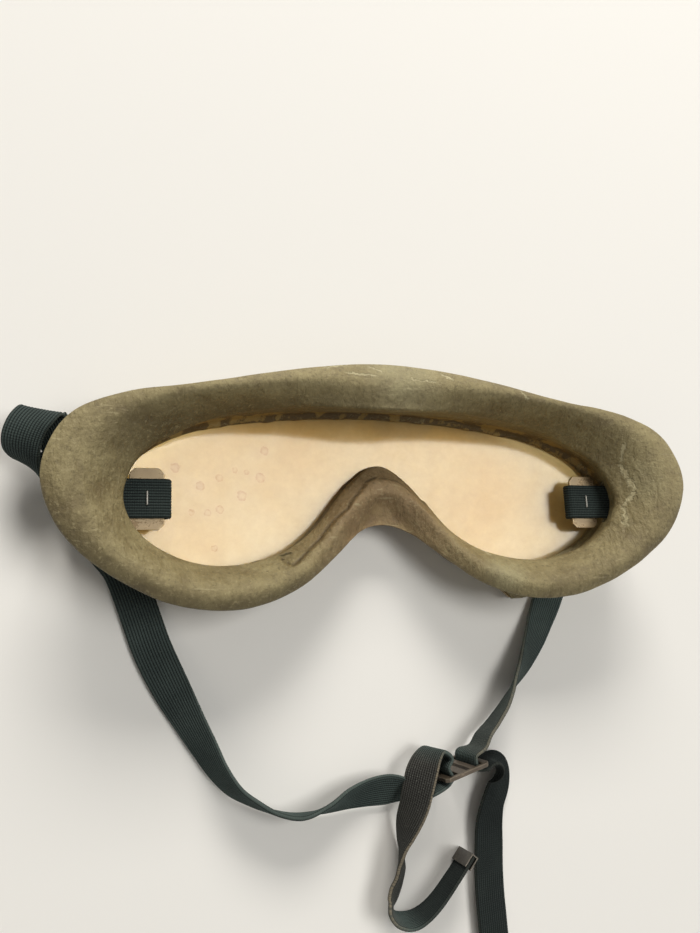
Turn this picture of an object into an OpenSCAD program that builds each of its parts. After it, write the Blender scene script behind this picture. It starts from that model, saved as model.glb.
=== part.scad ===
// Military goggles: soft rubber frame with a face roll, one curved lens held by
// a groove and three snap tabs, and a two-piece head strap with toggles and buckle.
// Axes: +X to the wearer's right, +Y to the forehead, +Z to the face.
// The goggles lie lens down, and z = 0 is the surface that the front lip rests on.

/* [Frame] */
// Width over the outer edge of the face roll
frame_w = 185.8; // [170:0.2:200]
// Height over the outer edge of the face roll
frame_h = 68.6; // [63:0.2:75]
// Height of the roll's outer edge above the front lip, at the temples
temple_d = 31; // [29:0.5:35]
// Rise of the roll's crown above the straight line between its edges
roll_crown = 4.6; // [3:0.1:5.5]
// Rubber thickness of the roll
roll_t = 3.2; // [2.6:0.1:3.8]
// Thickness of the front lip
lip_t = 2.6; // [2.4:0.1:3]
// Thickness of the lip behind the lens
rear_lip_t = 1.4; // [1:0.1:1.8]
// Thickness of the wall outside the lens groove
wall_t = 2; // [1.8:0.1:2.6]
// Half width of the flat middle of the front
flat_half = 25; // [22:1:26]
// Radius of the front where it curves back to the temples
front_r = 200; // [180:5:260]

/* [Lens] */
// Thickness of the lens sheet
lens_t = 1; // [0.8:0.1:1.4]
// Play on each face of the lens in its groove
lens_gap = 0.3; // [0.2:0.05:0.4]
// Depth of the lens groove behind the front lip
groove_depth = 1.8; // [1.6:0.1:2.4]
// Play between the lens edge and the groove bottom
lens_edge_gap = 0.4; // [0.3:0.1:0.6]

/* [Snap tabs] */
// Width of the top snap tab
tab_w = 19; // [17:0.5:20]
// Width of a lower snap tab
low_tab_w = 13.5; // [13:0.5:15]
// Thickness of a snap tab
tab_t = 1.5; // [1.3:0.1:1.6]
// How far the top tab reaches over the lens from the edge of the rear lip
tab_reach = 4.2; // [3.4:0.1:4.6]
// How far a lower tab reaches over the lens
low_tab_reach = 1.2; // [0.9:0.1:2]
// Radius of the corners of a tab's free end
tab_round = 4; // [3:0.5:5]
// Distance from that edge to the middle of the snap
snap_v = 6.8; // [6.7:0.1:7]
// Place of the top tab to the right of the middle
top_tab_x = 12; // [8:1:14]
// Distance of each lower tab from the middle
low_tab_x = 47; // [45:1:49]

/* [Snap fasteners] */
// Diameter of the domed cap
cap_d = 7.6; // [7:0.1:8]
// Height of the domed cap
cap_h = 0.9; // [0.7:0.1:0.9]
// Diameter of the socket
socket_d = 6.4; // [6.2:0.1:6.6]
// Height of the socket behind the tab
socket_h = 2; // [1.8:0.1:2]
// Bore of the socket
socket_bore = 4.4; // [4.3:0.1:4.6]
// Diameter of the stud's head
stud_d = 3.2; // [2.9:0.1:3.2]
// Diameter of the rivet barrels
rivet_d = 1.9; // [1.6:0.1:2]

/* [Strap] */
// Width of the webbing
strap_w = 10.5; // [9:0.5:12]
// Thickness of the webbing
strap_t = 1.2; // [1:0.1:1.3]
// Play between the webbing and the side of a slot that it runs through
strap_gap = 1.2; // [1:0.1:1.4]
// Length of a metal strap tip
tip_len = 4; // [3:0.5:6]
// Sheet thickness of a metal strap tip
tip_sheet = 0.4; // [0.3:0.1:0.5]

/* [Toggles] */
// Width of a toggle plate, across the strap's end
toggle_w = 16.5; // [15.5:0.5:17]
// Length of a toggle plate, along the strap
toggle_l = 9; // [8.5:0.5:9.5]
// Thickness of a toggle plate
toggle_t = 1; // [0.8:0.1:1.1]
// Distance of a toggle plate's middle from the side edge of the opening
toggle_in = 6.1; // [5.9:0.1:7]
// Height of a toggle plate's middle
toggle_y = -4.5; // [-5:0.5:-4]
// Length of the toggle's slot
toggle_slot = 10; // [9.5:0.5:11]
// Sheet play between the toggle plate and the webbing round it
toggle_gap = 0.2; // [0.15:0.05:0.3]
// Length of the staple's crown
staple_l = 3.3; // [3:0.1:3.6]
// Diameter of the staple's wire
staple_d = 0.6; // [0.5:0.1:0.8]

/* [Buckle] */
// Width of the end bars and of the narrow inner bar
bar_w = 1.9; // [1.6:0.1:2.1]
// Width of the wide bar in the middle
mid_bar_w = 2.8; // [2.4:0.1:3.2]
// Width of the slot that a strap runs through
loop_slot = 2.6; // [2.5:0.1:3]
// Width of the narrow open slot beside the wide bar
open_slot = 1.5; // [1.2:0.1:1.8]
// Width of the buckle's side rails
rail_w = 1.15; // [1:0.05:1.6]
// Thickness of the buckle
buckle_t = 1.2; // [1:0.1:1.3]

/* [Hidden] */
$fn = 48;

// Half of the rim: outer edge, inner edge, and the rear lip's set-back from the inner edge.
// Each row is [x, y, z of the outer edge, x, y, z of the inner edge, set-back, nose web].
half_rim = [
    [0, 34.4, 23, 0, 19.5, 26, 3, 0],
    [28, 30.1, 26.5, 26, 20.5, 22.5, 0.8, 0],
    [54, 23.8, 30, 48, 18, 18.5, 0, 0],
    [72, 20.6, 30.5, 61, 12.5, 18.8, 1, 0],
    [86.5, 13.8, 31, 69.5, 6, 21.3, 1.2, 0],
    [92.9, 0, 31, 73.6, -4, 22.8, 1.2, 0],
    [88, -14.5, 29.8, 71, -12, 22, 1.2, 0],
    [76, -25.2, 27, 65, -17.5, 20, 1, 0],
    [60, -32.6, 23.8, 55, -21.6, 17.8, 0.8, 0],
    [44, -34.2, 21.5, 43.5, -22.2, 16.5, 0.2, 0],
    [29, -29.8, 19, 30, -18.7, 14, 0.5, 0],
    [17, -21.2, 15.7, 20, -11.5, 11.8, 0, 1.2],
    [8, -13.8, 13, 10.5, 0.3, 10.4, 0, 2.4],
    [0, -11.4, 12.3, 0, 7.2, 10, 0, 2.6]];
kx = frame_w / 185.8;
ky = frame_h / 68.6;
kz = temple_d / 31;
rim_steps = 4;

// Front surface: flat in the middle, then round to the temples.
function front_z(x) = let (a = max(0, abs(x) - flat_half)) front_r - sqrt(front_r * front_r - a * a);
function front_tilt(x) = asin(max(0, abs(x) - flat_half) / front_r) * sign(x);

// Spline through the points p, as a value at t between p1 and p2.
function curve_at(p0, p1, p2, p3, t) =
    0.5 * (2 * p1 + (p2 - p0) * t + (2 * p0 - 5 * p1 + 4 * p2 - p3) * t * t
    + (3 * p1 - p0 - 3 * p2 + p3) * t * t * t);
function closed_curve(p, n) = let (m = len(p))
    [for (i = [0:m - 1], k = [0:n - 1])
        curve_at(p[(i + m - 1) % m], p[i], p[(i + 1) % m], p[(i + 2) % m], k / n)];
function open_curve(p, n) = let (m = len(p))
    [for (i = [0:m - 2], k = [0:n - 1])
        curve_at(i > 0 ? p[i - 1] : 2 * p[0] - p[1], p[i], p[i + 1],
            i < m - 2 ? p[i + 2] : 2 * p[m - 1] - p[m - 2], k / n), p[m - 1]];

function sized(s) = [s[0] * kx, s[1] * ky, s[2] * kz, s[3] * kx, s[4] * ky, s[5] * kz, s[6], s[7]];
function mirrored(s) = [-s[0], s[1], s[2], -s[3], s[4], s[5], s[6], s[7]];
rim = let (h = [for (s = half_rim) sized(s)], m = len(h))
    closed_curve(concat(h, [for (i = [m - 2:-1:1]) mirrored(h[i])]), rim_steps);

// Groove and lips: distances outward from the set-back edge, heights above the front.
groove_w = lens_t + 2 * lens_gap;
lip_in = 0.6;
groove_v = lip_in + groove_depth;
wall_v = groove_v + wall_t;
groove_top = lip_t + groove_w;
rear_top = groove_top + rear_lip_t;
edge_round = 0.6;

function rim_xy(s, u) = let (d = [s[0] - s[3], s[1] - s[4]]) [s[3], s[4]] + d / norm(d) * u;
function at_z(s, u, z) = let (q = rim_xy(s, u)) [q[0], q[1], z];
function at_front(s, u, z) = let (q = rim_xy(s, u)) [q[0], q[1], front_z(q[0]) + z];
function roll_z(s, k) = s[5] + (s[2] - s[5]) * k + roll_crown * sin(180 * pow(k, 1.15))
    - s[7] * sin(180 * max(0, (k - 0.45) / 0.55));

// One closed section of the frame across the rim.
function frame_section(s) = let (
        a = s[6],
        w = norm([s[0] - s[3], s[1] - s[4]]),
        low = at_front(s, a + groove_v - 1.1, rear_top + 0.7),
        top = at_z(s, 0.7, s[5] - 2.6),
        uw = a + wall_v,
        k0 = (uw + 0.8) / w,
        k1 = (w - 1.5) / w)
    [at_front(s, a + lip_in + edge_round, 0), at_front(s, a + lip_in, edge_round),
    at_front(s, a + lip_in, lip_t), at_front(s, a + groove_v, lip_t),
    at_front(s, a + groove_v, groove_top), at_front(s, a - 0.3, groove_top),
    at_front(s, a - 0.3, rear_top - 0.4), at_front(s, a + 0.4, rear_top),
    low, low + (top - low) * 0.5, top,
    at_z(s, 0.1, s[5] - 1.6), at_z(s, 0, s[5] - 0.6), at_z(s, 0.4, s[5] + 0.5),
    for (k = [0.1, 0.25, 0.4, 0.55, 0.7, 0.85, 0.95]) at_z(s, k * w, roll_z(s, k)),
    at_z(s, w - 0.2, s[2] + 0.1), at_z(s, w, s[2] - 0.9),
    at_z(s, w - 0.4, s[2] - 2.1), at_z(s, w - 1.5, roll_z(s, k1) - roll_t),
    for (t = [0.3, 0.65]) at_z(s, (k1 + (k0 - k1) * t) * w, roll_z(s, k1 + (k0 - k1) * t) - roll_t),
    at_z(s, uw + 0.8, roll_z(s, k0) - roll_t), at_z(s, uw, roll_z(s, k0) - roll_t - 1),
    at_front(s, uw, rear_top + 0.6), at_front(s, uw + 0.4, groove_top),
    at_front(s, uw + 0.4, edge_round), at_front(s, uw - 0.1, 0)];

module ring_loft(rings, closed) {
    m = len(rings);
    n = len(rings[0]);
    last = closed ? m - 1 : m - 2;
    walls = [for (i = [0:last], j = [0:n - 1])
        let (a = i * n + j, b = i * n + (j + 1) % n, c = ((i + 1) % m) * n + j, d = ((i + 1) % m) * n + (j + 1) % n)
        each [[a, b, c], [b, d, c]]];
    ends = closed ? [] : [[for (j = [n - 1:-1:0]) j], [for (j = [0:n - 1]) (m - 1) * n + j]];
    polyhedron([for (r = rings) each r], concat(walls, ends), convexity = 12);
}

// Edge of the lens opening, as a lookup of y by x, above and below.
edge_top = [for (i = [0:4 * rim_steps]) rim_xy(rim[i], rim[i][6])];
edge_low = [for (i = [12 * rim_steps:-1:7 * rim_steps]) rim_xy(rim[i], rim[i][6])];
function edge_y(x, side) = lookup(abs(x), side > 0 ? edge_top : edge_low);

// Levels of a snap tab above the front, and its places outward from the lens edge.
tab_z = lip_t + lens_gap - 0.2 - tab_t;
tab_back = tab_z + tab_t;
hinge_gap = 0.3;
shelf_z = tab_back + socket_h + 0.7;
shelf_t = 2;
pocket_r = socket_d / 2 + 0.3;
hinge_v = snap_v + socket_d / 2 + 0.8;
shelf_end = hinge_v + 0.4;
stop_t = 1.1;
corner = 4.5;
// Each tab's place, side, width and reach.
tabs = [[top_tab_x, 1, tab_w, tab_reach], [-low_tab_x, -1, low_tab_w, low_tab_reach],
    [low_tab_x, -1, low_tab_w, low_tab_reach]];

// Puts the children on a tab: +Y outward from the lens edge, z = 0 on the front.
module on_tab(i) {
    t = tabs[i];
    translate([t[0], edge_y(t[0], t[1]), front_z(t[0])])
        rotate([0, -front_tilt(t[0]), 0])
        mirror([0, t[1] < 0 ? 1 : 0, 0]) children();
}

module tab_shelf(w) {
    root = groove_v + 0.6;
    h = w / 2;
    translate([0, 0, shelf_z]) linear_extrude(shelf_t)
        polygon([[-h, root], [h, root], [h, shelf_end - corner], [h - corner, shelf_end],
            [corner - h, shelf_end], [-h, shelf_end - corner]]);
    translate([corner - h, shelf_end - stop_t, tab_back + hinge_gap])
        cube([w - 2 * corner, stop_t, shelf_z - tab_back - hinge_gap + 0.5]);
}

module tab_room(w) {
    room = w + 1;
    translate([-room / 2, -1.5, -2]) cube([room, wall_v + 2.5, tab_back + hinge_gap + 2]);
    translate([0, snap_v, 0]) cylinder(r = pocket_r, h = shelf_z);
}

strap_z = 15.3;
slot_h = strap_t + 2.2;
slot_w = strap_w + 2 * strap_gap;
slot_off = 12.6;
slot_l = 14;
side_edge = 73.6;
toggle_x = side_edge * kx - toggle_in;
module strap_slots() {
    for (side = [-1, 1])
        translate([side * (toggle_x + slot_off) - slot_l / 2, toggle_y - slot_w / 2, strap_z - slot_h / 2 + 0.5])
            cube([slot_l, slot_w, slot_h]);
}

module frame() {
    color([0.5, 0.45, 0.34])
    difference() {
        union() {
            ring_loft([for (s = rim) frame_section(s)], true);
            for (i = [0:2]) on_tab(i) tab_shelf(tabs[i][2]);
        }
        for (i = [0:2]) on_tab(i) {
            tab_room(tabs[i][2]);
            translate([0, snap_v, 0]) cylinder(d = rivet_d + 0.2, h = shelf_z + shelf_t + 1);
            translate([0, snap_v, shelf_z + shelf_t]) cylinder(d = socket_d, h = 1);
        }
        strap_slots();
    }
}

module lens() {
    edge = [for (s = rim) rim_xy(s, s[6] + groove_v - lens_edge_gap)];
    reach = frame_w / 2;
    xs = [for (k = [-16:16]) k * reach / 16];
    color([0.93, 0.87, 0.62, 0.5])
    intersection() {
        linear_extrude(2 * temple_d) polygon(edge);
        rotate([90, 0, 0])
            translate([0, 0, -frame_h])
            linear_extrude(2 * frame_h)
            polygon(concat([for (x = xs) [x, front_z(x) + lip_t + lens_gap]],
                [for (i = [32:-1:0]) [xs[i], front_z(xs[i]) + lip_t + lens_gap + lens_t]]));
    }
}

// Outline of a tab: chamfered at its hinge, with a flat end and round corners over the lens.
function tab_outline(w, reach) = let (h = w / 2)
    concat([[h, hinge_v - corner], [h - corner, hinge_v], [corner - h, hinge_v], [-h, hinge_v - corner]],
        [for (a = [0:15:90]) [tab_round - h - tab_round * cos(a), tab_round - reach - tab_round * sin(a)]],
        [for (a = [90:-15:0]) [h - tab_round + tab_round * cos(a), tab_round - reach - tab_round * sin(a)]]);

module snap_tab(i) {
    color([0.56, 0.49, 0.38])
    on_tab(i)
    difference() {
        translate([0, 0, tab_z]) linear_extrude(tab_t) polygon(tab_outline(tabs[i][2], tabs[i][3]));
        translate([0, snap_v, tab_z - 1]) cylinder(d = rivet_d + 0.2, h = tab_t + 2);
    }
}
module top_snap_tab() { snap_tab(0); }
module left_snap_tab() { snap_tab(1); }
module right_snap_tab() { snap_tab(2); }

// Domed cap on the front of the tab, with the barrel that goes into the socket.
module snap_cap() {
    r = cap_d / 2;
    dome = (r * r + cap_h * cap_h) / (2 * cap_h);
    color([0.45, 0.4, 0.3])
    translate([0, snap_v, 0]) {
        rotate_extrude()
            polygon(concat([[0, tab_z]], [for (k = [8:-1:0])
                [r * k / 8, tab_z - sqrt(dome * dome - r * r * k * k / 64) + dome - cap_h]]));
        translate([0, 0, tab_z - 0.1]) cylinder(d = rivet_d, h = tab_t + 0.7);
    }
}
module top_snap_cap() { on_tab(0) snap_cap(); }
module left_snap_cap() { on_tab(1) snap_cap(); }
module right_snap_cap() { on_tab(2) snap_cap(); }

module snap_socket() {
    color([0.5, 0.46, 0.36])
    translate([0, snap_v, tab_back])
    difference() {
        cylinder(d = socket_d, h = socket_h);
        translate([0, 0, 0.7]) cylinder(d = socket_bore, h = socket_h);
        translate([0, 0, -1]) cylinder(d = rivet_d + 0.1, h = socket_h + 1);
    }
}
module top_snap_socket() { on_tab(0) snap_socket(); }
module left_snap_socket() { on_tab(1) snap_socket(); }
module right_snap_socket() { on_tab(2) snap_socket(); }

// Stud under the shelf: a flange, a neck and a head, bored for the eyelet's barrel.
stud_flange = 0.35;
stud_h = 1.7;
module snap_stud() {
    translate([0, snap_v, shelf_z])
    mirror([0, 0, 1])
    difference() {
        union() {
            cylinder(d = socket_d - 0.8, h = stud_flange);
            cylinder(d = stud_d - 0.5, h = stud_h);
            translate([0, 0, stud_h - 0.8]) cylinder(d = stud_d, h = 0.8);
        }
        translate([0, 0, -1]) cylinder(d = rivet_d + 0.1, h = stud_h + 0.5);
    }
}
module snap_studs() {
    color([0.5, 0.46, 0.36]) for (i = [0:2]) on_tab(i) snap_stud();
}

// Eyelet from behind the shelf: a rolled flange and a barrel down into the stud.
module snap_eyelet() {
    translate([0, snap_v, shelf_z])
    difference() {
        union() {
            translate([0, 0, shelf_t]) cylinder(d = socket_d - 0.8, h = 0.4);
            translate([0, 0, -stud_flange]) cylinder(d = rivet_d, h = shelf_t + stud_flange + 0.1);
        }
        translate([0, 0, 0.5]) cylinder(d = rivet_d - 0.8, h = shelf_t + 1);
    }
}
module snap_eyelets() {
    color([0.5, 0.46, 0.36]) for (i = [0:2]) on_tab(i) snap_eyelet();
}

// Toggle plate in the webbing's end loop, with a slot that lets the staple through.
loop_in = toggle_t / 2 + toggle_gap;
toggle_z = strap_z - strap_t / 2 - loop_in;
slot_clear = 1.6;
function plate_outline(l, w, c) = [[c - l / 2, -w / 2], [l / 2 - c, -w / 2], [l / 2, c - w / 2],
    [l / 2, w / 2 - c], [l / 2 - c, w / 2], [c - l / 2, w / 2], [-l / 2, w / 2 - c], [-l / 2, c - w / 2]];
module toggle(side) {
    color([0.55, 0.47, 0.36])
    translate([side * toggle_x, toggle_y, toggle_z - toggle_t / 2])
    scale([side, 1, 1])
    linear_extrude(toggle_t)
    difference() {
        polygon(plate_outline(toggle_l, toggle_w, 1.4));
        square([slot_clear, toggle_slot], center = true);
    }
}
module left_toggle() { toggle(-1); }
module right_toggle() { toggle(1); }

module staple(side) {
    rise = loop_in + strap_t + 0.1;
    color([0.75, 0.73, 0.68])
    translate([side * toggle_x, toggle_y, toggle_z]) {
        for (y = [-1, 1]) translate([0, y * staple_l / 2, -rise]) cylinder(d = staple_d, h = 2 * rise);
        for (z = [-1, 1]) translate([0, -staple_l / 2, z * (rise + 0.1)])
            rotate([-90, 0, 0]) cylinder(d = staple_d, h = staple_l);
        for (z = [-1, 1], y = [-1, 1]) translate([0, y * staple_l / 2, z * (rise + 0.1)]) sphere(d = staple_d);
    }
}
module left_staple() { staple(-1); }
module right_staple() { staple(1); }

// Buckle: flat plate with three slots and four bars, standing on its long edge.
buckle_at = [19.8, -81.3, 8.2];
buckle_az = 11.5;
buckle_el = -8.5;
buckle_roll = 93.5;
buckle_l = 3 * bar_w + mid_bar_w + 2 * loop_slot + open_slot;
buckle_w = strap_w + 2 * rail_w + strap_gap;
b_along = [cos(buckle_el) * cos(buckle_az), cos(buckle_el) * sin(buckle_az), sin(buckle_el)];
b_level = [-sin(buckle_az), cos(buckle_az), 0];
b_across = cos(buckle_roll) * b_level + sin(buckle_roll) * cross(b_along, b_level);
b_up = cross(b_along, b_across);
module on_buckle() {
    multmatrix([[b_along[0], b_across[0], b_up[0], buckle_at[0]],
        [b_along[1], b_across[1], b_up[1], buckle_at[1]],
        [b_along[2], b_across[2], b_up[2], buckle_at[2]], [0, 0, 0, 1]]) children();
}
// Middle of the slots, from the buckle's left end.
slot_a = -buckle_l / 2 + bar_w + loop_slot / 2;
slot_b = slot_a + loop_slot / 2 + mid_bar_w + open_slot / 2;
slot_c = buckle_l / 2 - bar_w - loop_slot / 2;
module buckle() {
    inner = buckle_w - 2 * rail_w;
    color([0.34, 0.29, 0.24])
    on_buckle()
    translate([0, 0, -buckle_t / 2])
    linear_extrude(buckle_t)
    difference() {
        polygon([[-buckle_l / 2 + 1, -buckle_w / 2], [buckle_l / 2 - 1, -buckle_w / 2],
            [buckle_l / 2, -buckle_w / 2 + 1], [buckle_l / 2, buckle_w / 2 - 1],
            [buckle_l / 2 - 1, buckle_w / 2], [-buckle_l / 2 + 1, buckle_w / 2],
            [-buckle_l / 2, buckle_w / 2 - 1], [-buckle_l / 2, -buckle_w / 2 + 1]]);
        translate([slot_a, 0]) square([loop_slot, inner], center = true);
        translate([slot_b, 0]) square([open_slot, inner], center = true);
        translate([slot_c, 0]) square([loop_slot, inner], center = true);
    }
}

// Strap routes. A point is [x, y, z, width direction as azimuth and elevation].
// The stretch between the frame and the buckle follows the frame's width.
function wide(az, el) = [cos(el) * cos(az), cos(el) * sin(az), sin(el)];
function route_point(p) = concat([p[0], p[1], p[2]], wide(p[3], p[4]));
exit_x = 88;
function run_x(x, side) = buckle_at[0]
    + (x - buckle_at[0]) * (side * exit_x * kx - buckle_at[0]) / (side * exit_x - buckle_at[0]);
function run_point(p, side) = concat([run_x(p[0], side), p[1], p[2]], wide(p[3], p[4]));
function buckle_point(x, z) = concat(buckle_at + b_along * x + b_up * z, b_across);

// Webbing round a toggle plate: under it, round its inner end and out to the slot.
loop_r = loop_in + strap_t / 2;
function toggle_loop(side) = let (
        end_x = toggle_x - toggle_l / 2,
        back_x = toggle_x + toggle_l / 2 - 1)
    [for (p = concat([[back_x, -loop_r], [toggle_x, -loop_r], [end_x + 1, -loop_r]],
        [for (a = [-90:30:90]) [end_x - loop_r * cos(a), loop_r * sin(a)]],
        [[end_x + 1, loop_r], [toggle_x, loop_r], [toggle_x + slot_off - slot_l / 2, loop_r], [toggle_x + slot_off + 1.5, loop_r]]))
        [side * p[0], toggle_y, toggle_z + p[1], 0, side, 0]];

// Round an end bar of the buckle: along its hidden face, through the slot and out to the front.
wrap = buckle_t / 2 + strap_t / 2 + 0.55;
end_a = -buckle_l / 2;
bar_turn = [[end_a - 0.8, wrap + 0.5], [end_a + 1.4, wrap], [slot_a - 0.3, wrap - 0.7],
    [slot_a, 0], [slot_a - 0.6, -2.4]];
function left_turn() = [for (q = bar_turn) buckle_point(q[0], q[1])];
function right_turn() = [for (i = [4:-1:0]) buckle_point(-bar_turn[i][0], bar_turn[i][1])];

left_route = concat(toggle_loop(-1), [for (p = [
    [-86, -4.4, 15.2, 270, -25], [-87.6, -1.6, 14.8, 265, -60], [-88.2, 2.4, 14, 220, -82],
    [-88.8, 6.6, 12, 185, -62], [-90, 11, 10, 175, -42], [-91.6, 15, 8.6, 172, -24], [-93, 17.6, 8.6, 170, -12],
    [-93.8, 18.8, 10.8, 170, -8], [-94.8, 18, 13.4, 168, -8], [-97, 14.8, 14.6, 168, -10],
    [-98.4, 10.8, 14, 166, -14], [-98.4, 7.4, 12, 158, -22], [-97, 5.2, 9, 144, -32], [-94.2, 4.6, 6.4, 118, -16],
    [-90.6, 4.4, 5.2, 102, -4], [-87.2, 2.2, 4.8, 76, 0], [-84.8, -2.2, 4.6, 52, 6], [-83, -7.4, 4.2, 42, 12],
    [-81.2, -12.6, 3.8, 38, 14], [-77, -17, 2.8, 40, 10],
    [-73.2, -21.8, 2, 32, 6], [-70.5, -28, 1.4, 22, 3], [-67.8, -35.6, 1.2, 20, 3], [-64.8, -44, 1.6, 22, 8],
    [-60.6, -53, 2.8, 26, 22], [-55.7, -62.3, 4.2, 30, 42],
    [-51.8, -69.3, 4.8, 34, 52], [-48, -76, 5.2, 40, 62], [-43.8, -81.3, 5.4, 45, 70], [-38.9, -84.8, 5.5, 52, 76],
    [-33, -88, 5.5, 60, 82], [-26, -89.8, 5.5, 72, 82], [-18.5, -88.8, 5.3, 95, 68], [-11.5, -87, 4.4, 112, 48],
    [-5, -86.2, 3.6, 115, 34], [1, -86.2, 3.3, 115, 28], [6, -86.6, 3.9, 108, 44], [9.6, -86.4, 6, 86, 72]])
        run_point(p, -1)],
    left_turn(), [for (p = [
    [15.7, -77.4, 9.2, -8, 82], [12.8, -75.6, 9.5, 0, 76], [10.2, -77.6, 10.2, 0, 64],
    [8.2, -81, 10.8, 0, 56], [6.8, -85.2, 10.8, 0, 60], [5.6, -90, 9.8, 0, 66], [3.9, -95.2, 8, 0, 78],
    [2.8, -100, 6.6, 180, 81], [2.6, -104.3, 5.8, 180, 65], [2.4, -107.8, 5.5, 180, 56], [1.3, -111, 5, 180, 50],
    [0.1, -114.2, 5, 180, 54], [-0.7, -116.8, 5.4, 185, 68], [0.6, -119.3, 5.6, 200, 80],
    [3.8, -120.3, 5.7, 250, 85], [7.8, -119.6, 5.7, 180, 87], [12.6, -116.7, 5.7, 132, 84],
    [18.6, -110.8, 5.7, 132, 82], [23.4, -105.5, 5.7, 132, 82]]) route_point(p)]);

right_route = concat(toggle_loop(1), [for (p = [
    [86, -5, 14.9, 90, 0], [87.9, -5, 13.2, 90, 0], [87.9, -5.3, 9.5, 90, 0], [85.6, -6, 5.6, 92, 0],
    [81.5, -7.8, 3, 105, 0], [77, -10.5, 2.2, 125, 10], [73.2, -14, 2.6, 138, 24], [69.6, -18.6, 2.3, 140, 20],
    [66.8, -22.5, 1.3, 145, 6], [63.2, -28, 0.8, 150, 0], [59.6, -35, 1, 156, 3], [56.2, -41, 1.5, 158, 12],
    [52.7, -47, 2.4, 160, 24], [48.2, -53.5, 3.6, 160, 40], [43.8, -58.7, 4.8, 160, 56], [41, -62.4, 5.4, 160, 68],
    [37.8, -66.4, 6, 158, 76], [34.2, -70, 6.4, 150, 80], [30.3, -73.2, 7.2, 100, 84],
    [27.8, -76.4, 7.6, 60, 84]]) run_point(p, 1)],
    right_turn(), [for (p = [
    [31.6, -80.9, 6.6, 180, 80], [34.6, -82.2, 5.6, 180, 56], [36.3, -85.2, 4, 180, 34], [36, -89.2, 3, 172, 24],
    [33.9, -94, 2.8, 172, 22], [32.7, -99, 2.3, 168, 16], [32.2, -105.5, 2, 169, 13], [31.7, -112.3, 1.9, 169, 12],
    [31.6, -119, 1.9, 168, 12], [31.8, -125, 1.9, 168, 12], [32, -131, 1.9, 168, 12],
    [32.3, -138, 1.9, 168, 12]]) route_point(p)]);
strap_steps = 3;

// Local axes at each point of a smoothed route: place, along, width and face.
function strap_axes(route) = let (c = open_curve(route, strap_steps), m = len(c))
    [for (i = [0:m - 1]) let (
        p = [c[i][0], c[i][1], c[i][2]],
        q0 = c[max(0, i - 1)],
        q1 = c[min(m - 1, i + 1)],
        d = [q1[0] - q0[0], q1[1] - q0[1], q1[2] - q0[2]],
        along = d / norm(d),
        v = [c[i][3], c[i][4], c[i][5]],
        across = v - (v * along) * along,
        width = across / norm(across))
        [p, along, width, cross(along, width)]];
function band_ring(f) = let (h = strap_w / 2, e = strap_t / 2)
    [for (q = [[h, e], [-h, e], [-h, -e], [h, -e]]) f[0] + f[2] * q[0] + f[3] * q[1]];
module band(route) { ring_loft([for (f = strap_axes(route)) band_ring(f)], false); }
module left_strap() { color([0.2, 0.22, 0.22]) band(left_route); }
module right_strap() { color([0.2, 0.22, 0.22]) band(right_route); }

// Folded metal tip over the end of a strap.
tip_gap = 0.1;
module strap_tip(route) {
    axes = strap_axes(route);
    f = axes[len(axes) - 1];
    color([0.3, 0.27, 0.24])
    multmatrix([[f[1][0], f[2][0], f[3][0], f[0][0]], [f[1][1], f[2][1], f[3][1], f[0][1]],
        [f[1][2], f[2][2], f[3][2], f[0][2]], [0, 0, 0, 1]])
    difference() {
        translate([tip_sheet + 0.05 - tip_len, -strap_w / 2 - 0.2, -strap_t / 2 - tip_gap - tip_sheet])
            cube([tip_len, strap_w + 0.4, strap_t + 2 * (tip_gap + tip_sheet)]);
        translate([-tip_len, -strap_w / 2 - 1, -strap_t / 2 - tip_gap])
            cube([tip_len + 0.05, strap_w + 2, strap_t + 2 * tip_gap]);
    }
}
module left_strap_tip() { strap_tip(left_route); }
module right_strap_tip() { strap_tip(right_route); }

frame();
lens();
top_snap_tab();
left_snap_tab();
right_snap_tab();
top_snap_cap();
left_snap_cap();
right_snap_cap();
top_snap_socket();
left_snap_socket();
right_snap_socket();
snap_studs();
snap_eyelets();
left_toggle();
right_toggle();
left_staple();
right_staple();
left_strap();
right_strap();
buckle();
left_strap_tip();
right_strap_tip();
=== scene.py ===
# Military goggles, dressed for the camera: a worn rubber frame with a yellowed lens and snap
# tabs, and a ribbed webbing strap with its toggles, staples and slide buckle.
# Metres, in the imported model's own frame; sizes are given in mm and multiplied by MM.
import math

import bmesh
import bpy
from mathutils import Matrix, Vector, noise


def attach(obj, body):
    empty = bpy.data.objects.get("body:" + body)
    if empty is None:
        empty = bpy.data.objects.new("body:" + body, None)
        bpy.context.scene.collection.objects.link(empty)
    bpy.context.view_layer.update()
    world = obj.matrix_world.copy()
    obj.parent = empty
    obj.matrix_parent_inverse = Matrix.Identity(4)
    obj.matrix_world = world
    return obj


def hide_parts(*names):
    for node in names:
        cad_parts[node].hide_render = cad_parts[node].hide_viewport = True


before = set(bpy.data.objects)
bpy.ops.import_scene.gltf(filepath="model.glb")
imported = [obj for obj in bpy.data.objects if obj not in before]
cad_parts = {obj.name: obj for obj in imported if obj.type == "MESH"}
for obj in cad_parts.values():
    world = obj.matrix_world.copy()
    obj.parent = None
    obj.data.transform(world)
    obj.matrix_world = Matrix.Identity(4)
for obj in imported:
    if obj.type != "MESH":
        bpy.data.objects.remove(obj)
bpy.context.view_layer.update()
MM = 0.001
scene = bpy.context.scene
scene.view_settings.view_transform = "Standard"


# sRGB hex to a linear colour.
def colour(hex_text):
    parts = [int(hex_text[i:i + 2], 16) / 255 for i in (1, 3, 5)]
    return tuple(c / 12.92 if c <= 0.04045 else ((c + 0.055) / 1.055) ** 2.4 for c in parts) + (1.0,)


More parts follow.
